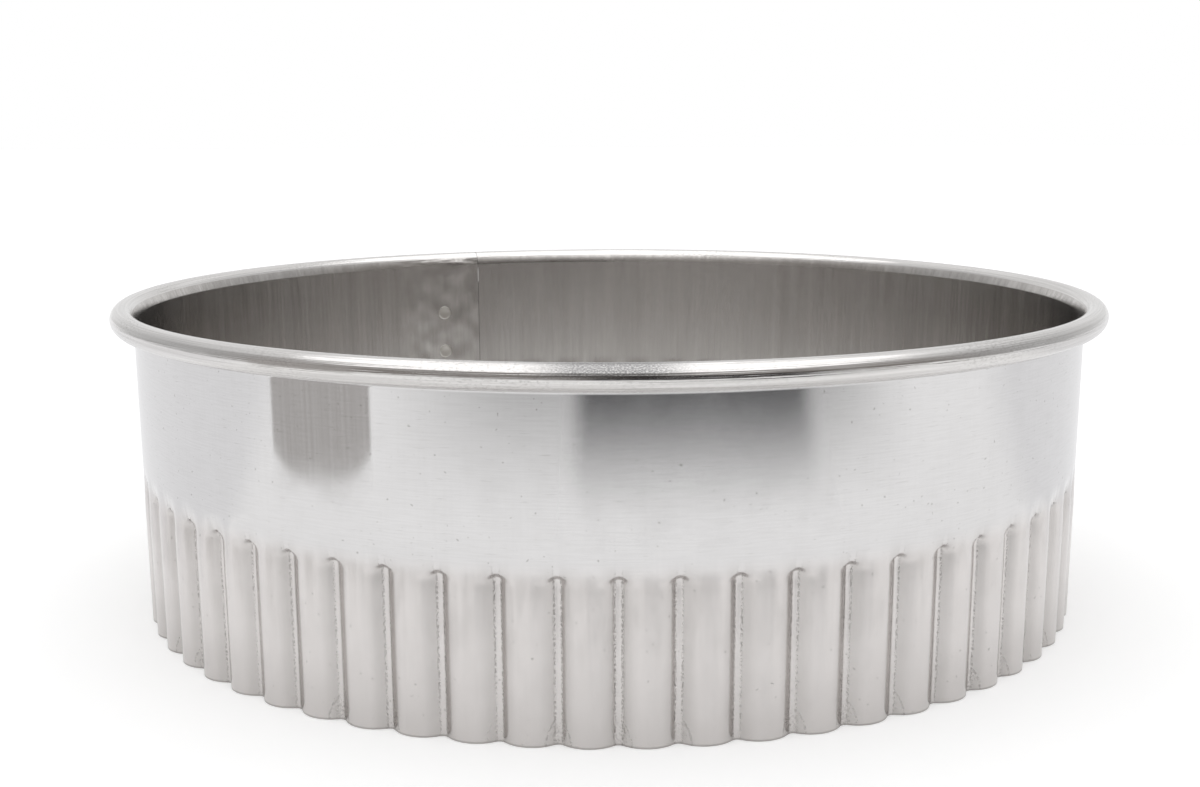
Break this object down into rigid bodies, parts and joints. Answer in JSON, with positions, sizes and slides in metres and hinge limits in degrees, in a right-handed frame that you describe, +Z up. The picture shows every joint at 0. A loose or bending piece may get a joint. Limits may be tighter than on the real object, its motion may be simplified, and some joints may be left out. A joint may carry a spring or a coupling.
{
  "type": "fluted biscuit cutter",
  "caption": "Round stainless biscuit cutter: a ring of thin sheet with a fluted cutting edge below, a plain band above and a rolled top rim to press on.",
  "frame": {"origin": "on the ring's axis, in the plane of the cutting edge", "axes": "+Z up along the ring's axis, from the cutting edge to the rolled rim; -Y is the side the picture faces"},
  "size_m": [0.0982, 0.0982, 0.0306],
  "materials": {
    "satin_steel": "satin stainless sheet, polished on the rolled rim",
    "wire_steel": "drawn steel wire",
    "weld_steel": "spot weld, slightly darkened"
  },
  "bodies": {
    "root": {"fluted_band": "satin_steel", "rim_wire": "wire_steel", "seam_weld_1": "weld_steel", "seam_weld_2": "weld_steel", "seam_weld_3": "weld_steel", "seam_weld_4": "weld_steel", "seam_weld_5": "weld_steel"}
  },
  "joints": []
}
